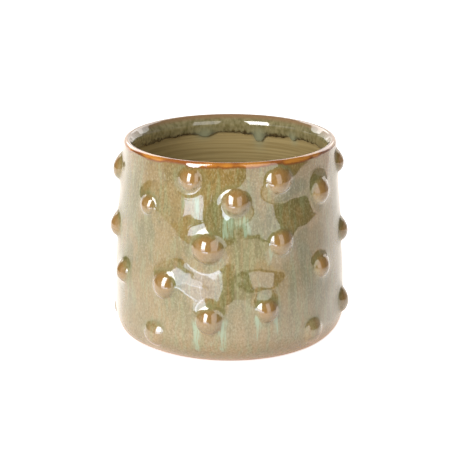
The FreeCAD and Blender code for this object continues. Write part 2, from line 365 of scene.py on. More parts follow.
# %% The pot's wall, pushed out
# How close to the outside a point counts as on it, and how high above the ground, in millimetres.
ON_OUTSIDE = 0.1
OFF_GROUND = 0.05
pot_points = vertices_of(pot)
pot_reach = np.hypot(pot_points[:, 0], pot_points[:, 1])
pot_turns = turns_of(pot_points)
pot_lengths = length_at(pot_reach, pot_points[:, 2])
on_reach, on_height, pot_slopes = outside_at(pot_lengths)
off_outside = np.hypot(on_reach - pot_reach, on_height - pot_points[:, 2])
pot_outside = (off_outside < ON_OUTSIDE) & (pot_points[:, 2] > OFF_GROUND)
pot_lift = wall_lift(pot_turns, pot_lengths) * pot_outside
pot_points[:, 0] += pot_lift * np.cos(pot_slopes) * np.sin(pot_turns)
pot_points[:, 1] -= pot_lift * np.cos(pot_slopes) * np.cos(pot_turns)
pot_points[:, 2] += pot_lift * np.sin(pot_slopes)
move_vertices(pot, pot_points)
print(f"wall pushed by {pot_lift.min():.2f} to {pot_lift.max():.2f} mm")

# %% [markdown]
# ## One boss, modelled once
# On the pot a boss is a ball of clay pressed on and smoothed down, so it is a dome that turns into a
# hollow round and then fades into the wall. A scaled half sphere would meet the wall in a hard line. Three
# arcs that touch each other give the real section, and one turn makes it. The last ring dips just under
# the wall, so that no edge shows.

# %% The boss's section, turned
FORM_STAND = 4.2
DOME = 9.4
STEEPEST = math.radians(46)
HOLLOW = 3.4
HOLLOW_END = math.radians(8)
TUCK_OUT = 0.4
TUCK_DOWN = 0.06

dome_height = FORM_STAND - DOME
hollow_reach = (DOME + HOLLOW) * math.sin(STEEPEST)
hollow_height = dome_height + (DOME + HOLLOW) * math.cos(STEEPEST)
FADE = (hollow_height - HOLLOW * math.cos(HOLLOW_END)) / (1 - math.cos(HOLLOW_END))
fade_reach = hollow_reach + (FADE - HOLLOW) * math.sin(HOLLOW_END)

boss_form = start_section("boss_form", 0, FORM_STAND)
round_about(0, dome_height, -STEEPEST, steps=16)
round_about(hollow_reach, hollow_height, STEEPEST - HOLLOW_END, steps=10)
round_about(fade_reach, FADE, HOLLOW_END, steps=9)
run_by(TUCK_OUT, -TUCK_DOWN, steps=1)
turn_section(boss_form, steps=60)
form_points = vertices_of(boss_form)
print(f"the fade has a radius of {FADE:.1f} mm, and the boss ends {fade_reach:.1f} mm out")

# %% [markdown]
# ## A copy for each place
# Every boss is a copy with its own mesh, wrapped on to the outside at its place. Measured on the wall, a
# point of the form has a way across, a way up and a height above the wall. The ways are shortened a little
# with height, so that the dome stays round while its edge follows the curve of the wall. The clay was
# soft, so each dome sags a little and no two are quite alike.

# %% Bosses on the wall
SAG = 0.9
SIZE_CHANCE = 0.05
LEAN_CHANCE = 0.5
BOSS_SEED = 11
# Bosses that were put on fuller than the rest, and low ones that were pressed almost flat.
FULLER = {"boss_01": 1.18, "boss_05": 1.12, "boss_16": 1.14, "boss_17": 1.12}
PRESSED = {"boss_29": 0.6, "boss_32": 0.65}

chance = np.random.default_rng(BOSS_SEED)
bosses = {}
boss_measures = {}
for name, (turn, length, size) in boss_places.items():
    wide, tall = 1 + chance.uniform(-SIZE_CHANCE, SIZE_CHANCE, 2)
    lean_over = chance.uniform(-LEAN_CHANCE, LEAN_CHANCE)
    across, up, height = (form_points * size * FULLER.get(name, 1)).T
    height = height * PRESSED.get(name, 1)
    rise = ease(height, 0, FORM_STAND)
    across = across * wide + lean_over * rise
    up = up * tall - SAG * rise + SAG / 2
    upright_bend = 1 / CORNER if length < 0 else 0
    lengths = length + up / (1 + height * upright_bend)
    reach, level, slope = outside_at(lengths)
    turns = turn + across / (reach + height * np.cos(slope))
    boss = boss_form.copy()
    boss.data = boss_form.data.copy()
    boss.name = "glazed_" + name
    boss.data.name = boss.name
    bpy.context.collection.objects.link(boss)
    move_vertices(boss, place_off_wall(turns, lengths, height + wall_lift(turns, lengths)))
    bosses[name] = boss
    boss_measures[name] = (turns, lengths)
bpy.data.objects.remove(boss_form)
print(f"{len(bosses)} bosses on the wall")

# %% [markdown]
# ## Signs of the hand
# A thrown wall is never dead even. A Displace modifier with a soft Clouds texture gives that. It reads the
# same texture, in the same frame, on the pot and on every boss, so their surfaces stay together. A vertex
# group keeps it off the inside, the lip and the foot.

# %% Unevenness of the wall
HAND_WIDTH = 22.0
HAND_DEPTH = 0.42
# Weights are set in this many steps, as a vertex group takes one weight for many points.
WEIGHT_LEVELS = 20
hand = bpy.data.textures.new("hand_unevenness", "CLOUDS")
hand.noise_scale = HAND_WIDTH * MM
hand.noise_depth = 2


def make_uneven(piece, weights):
    """Pushes a piece's surface in and out along its normals, and applies that."""
    group = piece.vertex_groups.new(name="uneven")
    levels = np.round(weights * WEIGHT_LEVELS).astype(int)
    for level in range(1, WEIGHT_LEVELS + 1):
        group.add(np.nonzero(levels == level)[0].tolist(), level / WEIGHT_LEVELS, "REPLACE")
    displace = piece.modifiers.new("uneven", "DISPLACE")
    displace.texture = hand
    displace.texture_coords = "LOCAL"
    displace.strength = HAND_DEPTH * MM
    displace.vertex_group = group.name
    bpy.context.view_layer.objects.active = piece
    bpy.ops.object.modifier_apply(modifier=displace.name)
    piece.vertex_groups.clear()


make_uneven(pot, trued(pot_lengths) * pot_outside)
for name, boss in bosses.items():
    make_uneven(boss, trued(boss_measures[name][1]))
print(f"wall uneven by up to {HAND_DEPTH / 2} mm each way")

# %% [markdown]
# ## The thick glaze inside the mouth
# The outer glaze laps over the lip and stops about 13 mm down the inside in a thick rolled edge, with a
# few runs below it. It could be painted on the wall, but it is thick enough to throw a shadow, so it is a
# piece of its own: a section that follows the lip's inner slope, stands a little off the wall and ends in
# a bead.

# %% The collar's section, turned
COLLAR_SKIN = 0.03
COLLAR_START = math.radians(95)
SLOPE_DROP = 2.3
THROAT_ROUND = 6.0
UNDERCUT = math.radians(8)
COLLAR_RUN = 4.0
BEAD = 0.7
# The section ends this far inside the wall, so that no edge shows.
SUNK = 0.4

skin_round = LIP + COLLAR_SKIN
collar_start = lip_centre + skin_round * np.array((math.cos(COLLAR_START), math.sin(COLLAR_START)))
slope_facing = np.array((-math.cos(LIP_SLOPE), math.sin(LIP_SLOPE)))
slope_run = SLOPE_DROP * np.array((-math.tan(LIP_SLOPE), -1))
throat_centre = lip_centre + skin_round * slope_facing + slope_run - THROAT_ROUND * slope_facing
throat_facing = np.array((-math.cos(UNDERCUT), -math.sin(UNDERCUT)))
throat_run = COLLAR_RUN * np.array((math.sin(UNDERCUT), -math.cos(UNDERCUT)))
throat_end = throat_centre + throat_facing * THROAT_ROUND + throat_run
collar_thick = inner_line - wall_normal @ throat_end
collar_low = throat_end[1] - BEAD

collar = start_section("glaze_collar", *collar_start)
round_about(*lip_centre, math.pi - LIP_SLOPE - COLLAR_START, steps=8)
run_by(*slope_run, steps=4)
round_about(*throat_centre, LIP_SLOPE + UNDERCUT, steps=16)
run_by(*throat_run, steps=6)
round_about(*(throat_end - throat_facing * BEAD), math.pi / 2, steps=6)
run_by(collar_thick - BEAD + SUNK, 0, steps=2)
turn_section(collar, steps=540)
print(f"the collar is {collar_thick:.2f} mm thick and ends {HEIGHT - collar_low:.1f} mm below the crest")

# %% [markdown]
# ## The ragged edge of the collar
# Molten glaze creeps down by a different amount at each turn, and here and there a drip runs on. A sum of
# a few waves of different lengths gives an edge with no plain repeat, and a few drips are listed one by
# one.
# The lower part of the collar slides down the wall by that much.

# %% The collar's ragged edge
# Waves of the edge: how many go round the pot, depth, and shift in radians.
EDGE_WAVES = (
    (5, 0.5, 0.4), (9, 0.35, 2.1), (17, 0.3, 0.9),
    (31, 0.25, 4.2), (57, 0.18, 1.3), (83, 0.12, 3.3),
)
# Drips: turn in degrees, depth, and half width in degrees.
DRIPS = (
    (162, 4.5, 3.2), (138, 2.0, 2.4), (196, 1.8, 4.5),
    (95, 2.5, 2.6), (-60, 4.5, 3.0), (20, 3.0, 3.2),
)
# The fourth power gives a drip upright sides and a blunt end.
DRIP_POWER = 4
DRIP_SPREAD = 1.3
RAGGED_BELOW = 6.0

collar_points = vertices_of(collar)
collar_turns = turns_of(collar_points)
ragged = np.zeros(len(collar_points))
for waves, depth, shift in EDGE_WAVES:
    ragged += depth * np.sin(waves * collar_turns + shift)
collar_drips = np.zeros(len(collar_points))
for turn, depth, width in DRIPS:
    away = np.degrees(angle_from(collar_turns, math.radians(turn)))
    ragged += depth * np.exp(-((away / width) ** DRIP_POWER))
    collar_drips += np.exp(-((away / (DRIP_SPREAD * width)) ** 2))
slide = ragged * ease(collar_points[:, 2], HEIGHT - RAGGED_BELOW, collar_low + BEAD)
collar_points[:, :2] *= (1 + slide * math.sin(LEAN) / np.hypot(*collar_points[:, :2].T))[:, None]
collar_points[:, 2] -= slide * math.cos(LEAN)
move_vertices(collar, collar_points)
print(f"the edge of the collar wanders by {np.ptp(ragged):.1f} mm")

# %% [markdown]
# ## Runs of glaze below the bosses
# A reactive glaze gathers beside a boss and runs down below it. The runs below the front bosses are placed
# as they are in the photograph, and the others get two each, from a seeded chance. They could be painted
# by hand, but as numbers they stay easy to move.

# %% Runs of the bosses
# Runs below a boss: how far right of its middle, where they start and end below it, width and strength.
FRONT_RUNS = {
    "boss_03": ((-4.0, 9, 19, 3.4, 0.6), (5.0, 9, 24, 3.4, 0.9)),
    "boss_04": ((-4.6, 8, 22, 6.4, 1.0), (4.6, 8, 21, 6.0, 1.0)),
    "boss_16": ((6.8, 4, 18, 1.8, 0.8), (-6.0, 6, 12, 1.6, 0.4)),
    "boss_17": ((-7.5, 2, 14, 2.0, 0.7), (6.5, 4, 15, 1.6, 0.4)),
    "boss_21": ((-4.0, 8, 20, 1.8, 0.6), (5.5, 5, 13, 1.4, 0.3)),
    "boss_30": ((-6.8, -2, 20, 3.6, 1.0), (7.0, -2, 19, 3.6, 1.0), (0.0, 11, 17, 5.0, 0.6)),
    "boss_31": ((-6.2, 1, 18, 3.0, 1.0), (6.2, 3, 17, 2.8, 0.9)),
}
# Least and most of these measures for the runs that are made up, which are all of one width.
ASIDE = (5, 8)
START = (3, 6)
END = (10, 18)
STRENGTH = (0.1, 0.5)
MADE_UP_WIDTH = 1.4
SIDES = (-1, 1)


def made_up_runs(name):
    """Two runs for a boss, one on each side, seeded by its number."""
    chance = np.random.default_rng(int(name.removeprefix("boss_")))
    runs = []
    for side in SIDES:
        right = side * chance.uniform(*ASIDE)
        start = chance.uniform(*START)
        end = chance.uniform(*END)
        runs.append((right, start, end, MADE_UP_WIDTH, chance.uniform(*STRENGTH)))
    return runs


boss_runs = {name: FRONT_RUNS.get(name) or made_up_runs(name) for name in boss_names}
print(f"{sum(len(runs) for runs in boss_runs.values())} runs of glaze")

# %% [markdown]
# ## How thick the glaze lies
# A reactive glaze shows its thickness: it pools in a ring round a boss, turns to a pale celadon where it
# ran, and breaks to brown where it is thin over a dome. Each point gets a number for each of these, and
# the material reads them as attributes.

# %% Pools and runs
# A pool is a ring round a boss, a little fuller uphill.
POOL_RING = 9.0
POOL_WIDTH = 1.6
POOL_EVEN = 0.65
# Added to the distance from a boss's middle, so that nothing is divided by zero there.
NOT_ZERO = 0.1
# A run wanders by this much, at this rate in radians per millimetre, narrows by a share towards its end,
# and fades in and out over these lengths.
WANDER = 0.5
WANDER_RATE = 0.5
RUN_TAPER = 0.45
RUN_START_FADE = 3.0
RUN_END_FADE = 2.5


def glaze_flow(turns, lengths):
    """How far the glaze pools round the bosses and runs down below them, from 0 to 1."""
    pools = np.zeros(len(lengths))
    runs = np.zeros(len(lengths))
    for name, (turn, length, size) in boss_places.items():
        across = across_from(turns, lengths, turn)
        up = lengths - length
        away = np.hypot(across, up)
        pool = np.exp(-(((away / size - POOL_RING) / POOL_WIDTH) ** 2))
        pools = np.maximum(pools, pool * (POOL_EVEN + (1 - POOL_EVEN) * up / (away + NOT_ZERO)))
        for right, start, end, width, strength in boss_runs[name]:
            along = np.clip((-up - start) / (end - start), 0, 1)
            aside = across - right * size - WANDER * np.sin(WANDER_RATE * up + right)
            run = np.exp(-((aside / (width * (1 - RUN_TAPER * along))) ** 2))
            run = run * ease(up, -start + RUN_START_FADE, -start - RUN_START_FADE)
            run = run * ease(up, -end - RUN_END_FADE, -end + RUN_END_FADE)
            runs = np.maximum(runs, strength * run)
    return pools, runs


def keep_measure(piece, name, values):
    """Stores one number per point for the materials to read."""
    measure = piece.data.attributes.new(name, "FLOAT", "POINT")
    measure.data.foreach_set("value", values.astype(np.float32))


# %% Measures on the pot and the collar
# A drip leaves a streak on the lining below it, this many times as long as the drip is deep.
STREAK_LENGTH = 3.5
streaks = np.zeros(len(pot_points))
for turn, depth, width in DRIPS:
    away = np.degrees(angle_from(pot_turns, math.radians(turn)))
    faded = ease(pot_points[:, 2], collar_low - STREAK_LENGTH * depth, collar_low)
    streaks += np.exp(-((away / width) ** 2)) * faded
pools, runs = glaze_flow(pot_turns, pot_lengths)
keep_measure(pot, "pool", pools * pot_outside)
keep_measure(pot, "run", np.where(pot_outside, runs, streaks))
keep_measure(pot, "thin", np.zeros(len(pools)))
keep_measure(collar, "run", collar_drips)
print(f"runs cover {runs[pot_outside].mean():.1%} of the outside")

# %% Measures on the bosses
# Distances from a boss's middle where the runs set in, and where the thin glaze ends.
RUN_CLEAR = (6.0, 8.0)
THIN_EDGE = (8.2, 4.5)
# The glaze is less thin on a boss's lower half and near the foot, by up to this share.
LOWER_HALF = (-5, 2)
NEAR_FOOT = (0, 15)
THIN_LEAST = 0.55


def thin_share(values, zone):
    """From the least share at the start of a zone to 1 at its end."""
    return THIN_LEAST + (1 - THIN_LEAST) * ease(values, *zone)


form_away = np.hypot(form_points[:, 0], form_points[:, 1])
form_thin = ease(form_away, *THIN_EDGE) * thin_share(form_points[:, 1], LOWER_HALF)
for name, boss in bosses.items():
    turns, lengths = boss_measures[name]
    pools, runs = glaze_flow(turns, lengths)
    keep_measure(boss, "pool", pools)
    keep_measure(boss, "run", runs * ease(form_away, *RUN_CLEAR))
    keep_measure(boss, "thin", form_thin * thin_share(lengths, NEAR_FOOT) * PRESSED.get(name, 1) ** 2)
print(f"measures on {len(bosses)} bosses")

# %% [markdown]
# ## Tools for materials
# Every finish is made of nodes that read Object coordinates, so it stays in place on its piece and needs
# no picture or unwrapping. Colours are written as sRGB hex values, as a colour picker shows them, and
# turned into the linear numbers that Blender works with.

# %% Material tools
def colour(code):
    """An sRGB hex colour as linear RGBA, by the standard's own formula."""
    parts = [int(code[start:start + 2], 16) / 255 for start in (1, 3, 5)]
    return tuple(p / 12.92 if p <= 0.04045 else ((p + 0.055) / 1.055) ** 2.4 for p in parts) + (1,)


def add_node(tree, kind, inputs=None, **settings):
    """Adds one node. Settings are its properties; inputs set its sockets or link them."""
    node = tree.nodes.new(kind)
    for name, value in settings.items():
        setattr(node, name, value)
    for name, value in (inputs or {}).items():
        if isinstance(value, bpy.types.NodeSocket):
            tree.links.new(value, node.inputs[name])
        else:
            node.inputs[name].default_value = value
    return node


def new_material(name):
    """A material, its node tree, and the Object coordinates that its nodes read."""
    material = bpy.data.materials.new(name)
    material.use_nodes = True
    tree = material.node_tree
    tree.nodes.clear()
    return material, tree, add_node(tree, "ShaderNodeTexCoord").outputs["Object"]


# How a range runs between its two ends.
SOFT, LINEAR = "SMOOTHSTEP", "LINEAR"


def add_math(tree, operation, *values):
    """The result of one Math node."""
    node = add_node(tree, "ShaderNodeMath", dict(enumerate(values)), operation=operation)
    return node.outputs[0]


def ranged(tree, source, start, full, kind=SOFT, low=0, high=1):
    """How far a source is from start to full, as a number from low to high."""
    fade = {"Value": source, "From Min": start, "From Max": full, "To Min": low, "To Max": high}
    return add_node(tree, "ShaderNodeMapRange", fade, interpolation_type=kind).outputs[0]


def add_noise(tree, where, size, detail, roughness=0.5, squeeze=(1, 1, 1), shift=(0, 0, 0)):
    """A noise of a size in metres. Squeezing its coordinates stretches the pattern."""
    drawn = {"Vector": where, "Scale": squeeze, "Location": shift}
    place = add_node(tree, "ShaderNodeMapping", drawn).outputs[0]
    noise = {"Vector": place, "Scale": 1 / size, "Detail": detail, "Roughness": roughness}
    return add_node(tree, "ShaderNodeTexNoise", noise).outputs[0]


def end_material(material, shade, finish, relief=None):
    """Ends a material with its surface, which has a bump if there is relief."""
    tree = material.node_tree
    sockets = {"Base Color": shade, **finish}
    if relief:
        sockets["Normal"] = add_node(tree, "ShaderNodeBump", relief).outputs[0]
    surface = add_node(tree, "ShaderNodeBsdfPrincipled", sockets).outputs[0]
    add_node(tree, "ShaderNodeOutputMaterial", {"Surface": surface})
    print(f"{material.name}: {len(tree.nodes)} nodes")


# %% [markdown]
# ## Layers of colour
# A fired surface is seldom of one colour. Its finish can be built up as a painter would: a first colour,
# and others over it, each only where a pattern or a measure lies in a range. Every finish below is such a
# list, so one function lays them all.

# %% Tool for layers of colour
# A Mix node has sockets for each kind of value, so the ones for colours are named here by their numbers.
COLOURS = {"data_type": "RGBA"}
FACTOR, BELOW, ABOVE, MIXED = 0, 6, 7, 2


# A layer: what it reads, where it starts, where it is full, its strength there, how it runs, its colour.
def lay_colours(tree, sources, first, layers):
    """Lays colours over a first one, in the order of the list."""
    shade = colour(first)
    for source, start, full, strength, kind, code in layers:
        share = ranged(tree, sources[source], start, full, kind, high=strength)
        layer = {FACTOR: share, BELOW: shade, ABOVE: colour(code)}
        shade = add_node(tree, "ShaderNodeMix", layer, **COLOURS).outputs[MIXED]
    return shade


# %% [markdown]
# ## The reactive glaze
# The outside carries a stoneware glaze fired to a high gloss, in which oxides have parted into olive, tan
# and celadon. To the eye it is a mirror over a cloudy, streaky, speckled colour. The cloud is broad, the
# streaks are drawn down the wall by gravity, and the grain is fine. So each is a noise of its own real
# size, and those that gravity drew out are squeezed in height, which stretches their pattern.

# %% Noises in the glaze
# Squeeze in height, size in millimetres, detail, roughness, and a shift that parts two like patterns.
# The grain and specks are under half a millimetre on the pot, and are drawn coarser so that they show.
GLAZE_NOISES = {
    "cloud": (0.5, 16, 2, 0.5, (0, 0, 0)),
    "streak": (0.14, 3.0, 3, 0.6, (0, 0, 0)),
    "warm_streak": (0.13, 3.8, 3, 0.6, (0.3, 0.1, 0.2)),
    "grain": (0.65, 1.0, 2, 0.6, (0, 0, 0)),
    "mottle": (1, 1.5, 3, 0.65, (0, 0, 0)),
    "speck": (1, 0.9, 1, 0.5, (0, 0, 0)),
    "lines": (0.1, 1.3, 2, 0.5, (0, 0, 0)),
    "rim_heat": (1, 18, 2, 0.5, (0, 0, 0)),
}

glaze, tree, where = new_material("gloss_reactive_glaze")
sources = {"height": add_node(tree, "ShaderNodeSeparateXYZ", {0: where}).outputs["Z"]}
for name, (squeeze, size, detail, roughness, shift) in GLAZE_NOISES.items():
    sources[name] = add_noise(tree, where, size * MM, detail, roughness, (1, 1, squeeze), shift)
for name in ("pool", "run", "thin"):
    sources[name] = add_node(tree, "ShaderNodeAttribute", attribute_name=name).outputs["Fac"]
print(f"{len(sources)} patterns and measures for the glaze")

# %% [markdown]
# ## Patterns that change each other
# At the lip the glaze ran thin and burnt to orange with a dark fringe. That edge isn't level, so it reads
# a height that wavers with two of the noises. The runs are broken into fine upright lines, as they are on
# the pot, by adding a noise to their measure. The warm streaks grow stronger down the wall.

# %% Wavering lip, broken runs and warm streaks
RIM_MOTTLE = 1.4 * MM
RIM_SWING = 1.2 * MM
# The noise of the lines is about a half, so with this gain and offset it is about zero.
LINE_GAIN = 3.6
LINE_OFFSET = -1.8
# Values of the noises between which the heat of the lip and the warm streaks set in.
HEAT_RANGE = (0.42, 0.6)
WARM_RANGE = (0.50, 0.66)
# Heights between which the warm streaks grow to full strength, and the share that they start from.
WARM_HIGH = 105 * MM
WARM_LOW = 45 * MM
WARM_LEAST = 0.4

rim_heat = ranged(tree, sources["rim_heat"], *HEAT_RANGE)
rim_height = sources["height"]
for source, swing in ((sources["mottle"], RIM_MOTTLE), (rim_heat, RIM_SWING)):
    rim_height = add_math(tree, "MULTIPLY_ADD", source, swing, rim_height)
broken_run = add_math(tree, "MULTIPLY_ADD", sources["lines"], LINE_GAIN, LINE_OFFSET)
for operation in ("ADD", "MULTIPLY"):
    broken_run = add_math(tree, operation, sources["run"], broken_run)
warm = ranged(tree, sources["warm_streak"], *WARM_RANGE)
lower = ranged(tree, sources["height"], WARM_HIGH, WARM_LOW, LINEAR, WARM_LEAST)
warm = add_math(tree, "MULTIPLY", warm, lower)
sources.update({"rim_height": rim_height, "broken_run": broken_run, "warm": warm})
print(f"{len(sources)} patterns and measures in all")

# %% [markdown]
# ## The glaze put together
# The colours go on from the broad to the fine, and those of the foot and the lip come last. Window glass
# has an IOR near 1.5, but a glaze rich in metal oxides mirrors more, so it is 1.8 here, under a clear coat
# for the glassy top. A faint bump along the streaks keeps the mirror from looking like plastic.

# %% Reactive glaze
OLIVE, BURNT, HOT = "#7a703f", "#a05c26", "#c4802e"
GLAZE_LAYERS = (
    ("cloud", 0.42, 0.58, 1.0, SOFT, "#957c48"),
    ("height", 50 * MM, 10 * MM, 0.55, SOFT, "#aa8f67"),
    ("height", 106 * MM, 121 * MM, 0.6, SOFT, "#8f7034"),
    ("warm", 0, 1, 0.6, LINEAR, "#a48657"),
    ("streak", 0.48, 0.66, 0.52, SOFT, "#949768"),
    ("grain", 0.50, 0.66, 0.4, SOFT, "#5c4e2c"),
    ("grain", 0.48, 0.32, 0.38, SOFT, "#b5aa85"),
    ("pool", 0, 1, 0.45, LINEAR, "#7b7a4c"),
    ("broken_run", 0, 1.1, 0.85, SOFT, "#a0b291"),
    ("thin", 0, 1, 0.75, LINEAR, "#a0743c"),
    ("speck", 0.68, 0.76, 0.4, SOFT, "#4a381c"),
    ("height", 4.0 * MM, 1.0 * MM, 0.8, SOFT, "#c9946a"),
    ("rim_height", 122.7 * MM, 124.3 * MM, 1.0, SOFT, "#80481c"),
)
# Heights between which the crest of the lip turns to orange.
CREST = (123.8 * MM, 125.2 * MM)
# A glassy surface: a tight mirror, with a coat on top of it.
GLASSY = {"Roughness": 0.05, "IOR": 1.8, "Coat Weight": 1.0, "Coat IOR": 1.5, "Coat Roughness": 0.03}

shade = lay_colours(tree, sources, OLIVE, GLAZE_LAYERS)
layer = {FACTOR: rim_heat, BELOW: colour(BURNT), ABOVE: colour(HOT)}
orange = add_node(tree, "ShaderNodeMix", layer, **COLOURS).outputs[MIXED]
crest = ranged(tree, sources["rim_height"], *CREST)
layer = {FACTOR: crest, BELOW: shade, ABOVE: orange}
shade = add_node(tree, "ShaderNodeMix", layer, **COLOURS).outputs[MIXED]
relief = {"Height": sources["streak"], "Strength": 0.15, "Distance": 0.05 * MM}
end_material(glaze, shade, GLASSY, relief)

# %% [markdown]
# ## The lining
# Inside, the glaze is a thin wash of one olive, so the level rings of the potter's fingers show through.
# To the eye it is satin, with close rings that vary a little. The noise is stretched round the pot by
# squeezing it across, and gives both the colour and the bump. The drips of the collar leave celadon
# streaks on it.

# %% Thin lining glaze
RING_SIZE = 1.4 * MM
RING_SQUEEZE = (0.02, 0.02, 1)
WASH, CELADON = "#a28d5e", "#a6a886"
LINING_LAYERS = (
    ("rings", 0.35, 0.65, 1.0, LINEAR, "#bba674"),
    ("streak", 0, 1, 0.7, LINEAR, CELADON),
)

lining, tree, where = new_material("thin_olive_lining_glaze")
rings = add_noise(tree, where, RING_SIZE, detail=3, squeeze=RING_SQUEEZE)
streak = add_node(tree, "ShaderNodeAttribute", attribute_name="run").outputs["Fac"]
shade = lay_colours(tree, {"rings": rings, "streak": streak}, WASH, LINING_LAYERS)
relief = {"Height": rings, "Strength": 0.5, "Distance": 0.12 * MM}
end_material(lining, shade, {"Roughness": 0.2, "IOR": 1.55}, relief)

# %% [markdown]
# ## Bare clay
# The foot ring and the hollow inside it were wiped clean before firing, or the glaze would have stuck to
# the kiln shelf. To the eye, fired stoneware is matt, warm and gritty. Its grit is about half a
# millimetre, and is drawn coarser here so that it shows.

# %% Bare fired stoneware
GRIT_SIZE = 1.1 * MM
CLAY_DARK, CLAY_LIGHT = "#b08d6d", "#cdb092"

clay, tree, where = new_material("bare_fired_stoneware")
grit = add_noise(tree, where, GRIT_SIZE, detail=3)
shade = lay_colours(tree, {"grit": grit}, CLAY_DARK, [("grit", 0, 1, 1.0, LINEAR, CLAY_LIGHT)])
relief = {"Height": grit, "Strength": 0.4, "Distance": 0.1 * MM}
end_material(clay, shade, {"Roughness": 0.8}, relief)

# %% [markdown]
# ## The collar's glaze
# The same glassy glaze, but thick, so to the eye it is a deeper, mottled olive. It browns towards the
# crest of the lip, turns to celadon in the drips, and darkens in a ragged fringe along its lower edge,
# which is partly iron that the glaze gathered at its edge and partly painted shade along the rolled bead.
# The fringe reads a height that wavers with the mottle.

# %% Thick collar glaze
MOTTLE_SIZE = 2.0 * MM
MOTTLE_SQUEEZE = (1, 1, 0.6)
FRINGE_WAVER = 5.0 * MM
DRIP_TOP = 120 * MM
DRIP_FULL = 113 * MM
DEEP_OLIVE = "#7b7249"
COLLAR_LAYERS = (
    ("mottle", 0.35, 0.65, 1.0, LINEAR, "#9c9168"),
    ("height", 121.5 * MM, 124.5 * MM, 1.0, SOFT, "#9a7a55"),
    # The dark fringe: partly the glaze's own iron-dark edge, partly painted shade along the rolled bead.
    ("fringe_and_shade_height", 118.6 * MM, 115.6 * MM, 0.9, SOFT, "#3d2c15"),
    ("drip", 0, 1, 0.85, LINEAR, CELADON),
)

band, tree, where = new_material("thick_olive_collar_glaze")
height = add_node(tree, "ShaderNodeSeparateXYZ", {0: where}).outputs["Z"]
mottle = add_noise(tree, where, MOTTLE_SIZE, detail=4, squeeze=MOTTLE_SQUEEZE)
# A wavering height for the dark fringe, which is partly painted shade along the rolled bead.
fringe_and_shade_height = add_math(tree, "MULTIPLY_ADD", mottle, FRINGE_WAVER, height)
run = add_node(tree, "ShaderNodeAttribute", attribute_name="run").outputs["Fac"]
low = ranged(tree, height, DRIP_TOP, DRIP_FULL)
drip = add_math(tree, "MULTIPLY", run, low)
sources = {"mottle": mottle, "height": height, "fringe_and_shade_height": fringe_and_shade_height, "drip": drip}
shade = lay_colours(tree, sources, DEEP_OLIVE, COLLAR_LAYERS)
end_material(band, shade, GLASSY)

# %% [markdown]
# ## Which finish goes where
# The pot is one piece of clay with three finishes, so each of its faces gets a material by its place: bare
# clay under the foot, the lining inside, and the reactive glaze on the outside and over the lip. The
# bosses carry the same reactive glaze as the wall, so the patterns run on from one to the other.

# %% Finishes on the pieces
BARE_HEIGHT = 0.25
UNDERSIDE = 4.0
GLAZE_SLOT, LINING_SLOT, CLAY_SLOT = range(3)
for material in (glaze, lining, clay):
    pot.data.materials.append(material)
face_counts = [0, 0, 0]
for face in pot.data.polygons:
    level = face.center[2] / MM
    outside = all(pot_outside[index] for index in face.vertices)
    if level < BARE_HEIGHT or (level < UNDERSIDE and not outside):
        face.material_index = CLAY_SLOT
    elif level < HEIGHT - LIP and not outside:
        face.material_index = LINING_SLOT
    else:
        face.material_index = GLAZE_SLOT
    face_counts[face.material_index] += 1
collar.data.materials.append(band)
for boss in bosses.values():
    boss.data.materials.append(glaze)
print(f"faces with glaze, lining and clay: {face_counts}")

# %% [markdown]
# ## The floor and backdrop
# The pot stands on white paper that turns up behind it. Both come out white, so two flat sheets are
# enough, and the line where they meet doesn't show. They aren't part of the object.

# %% Sheets of the studio
# Middles and half sizes, in metres. The backdrop stands on the floor's back edge.
FLOOR_MIDDLE, FLOOR_HALF = (-0.15, 0.57, 0), (0.65, 0.83)
BACKDROP_MIDDLE, BACKDROP_HALF = (0, 1.4, 1.0), (1.6, 1.0)


def studio_sheet(name, middle, half_size, turn):
    """A flat sheet of the studio, which isn't part of the object."""
    bpy.ops.object.select_all(action="DESELECT")
    bpy.ops.mesh.primitive_plane_add(size=2)
    sheet = bpy.context.object
    sheet.name = name
    sheet.data.name = name
    bpy.ops.object.mode_set(mode="EDIT")
    bpy.ops.transform.resize(value=(*half_size, 1))
    if turn:
        bpy.ops.transform.rotate(value=turn, orient_axis="X", center_override=(0, 0, 0))
    bpy.ops.transform.translate(value=middle)
    bpy.ops.object.mode_set(mode="OBJECT")
    print(f"{sheet.name}: {max(sheet.dimensions):.2f} m on its longer side")
    return sheet


floor = studio_sheet("studio_floor", FLOOR_MIDDLE, FLOOR_HALF, 0)
backdrop = studio_sheet("studio_backdrop", BACKDROP_MIDDLE, BACKDROP_HALF, math.pi / 2)

# %% [markdown]
# ## What the glaze sees of the paper
# The camera should see pure white paper, while the glaze should mirror paper that is lit unevenly, as in
# the photograph: dimmer far to the left and right, in the front left corner, and in the pot's own shade,
# where it is also warmed by the pot. Light Path tells these rays apart, so the paper can glow for the
# camera and for mirrored rays only. Under that glow it is plain matt paper, which keeps the pot's shadow.

# %% Levels of the mirrored paper
# What a fade reads, the two places in metres that it runs between, the level at each, and how it runs.
PAPER_FADES = {
    "right": ("X", 0.08, 0.3, 0.9, 0.4, SOFT),
    "far_left": ("X", -0.75, 0.02, 0.3, 1.0, LINEAR),
    "front": ("Y", -0.08, -0.25, 0, 1, SOFT),
    "left": ("X", -0.12, -0.28, 0, 1, SOFT),
    "behind": ("Y", 0.02, 0.14, 0, 1, SOFT),
    "clear_of_pot": ("away", 0.052, 0.105, 0, 1, SOFT),
    "shade": ("away", 0.052, 0.105, 0.55, 1.0, SOFT),
}
CORNER_LEVEL = 0.1
BEHIND_LEVEL = 0.8

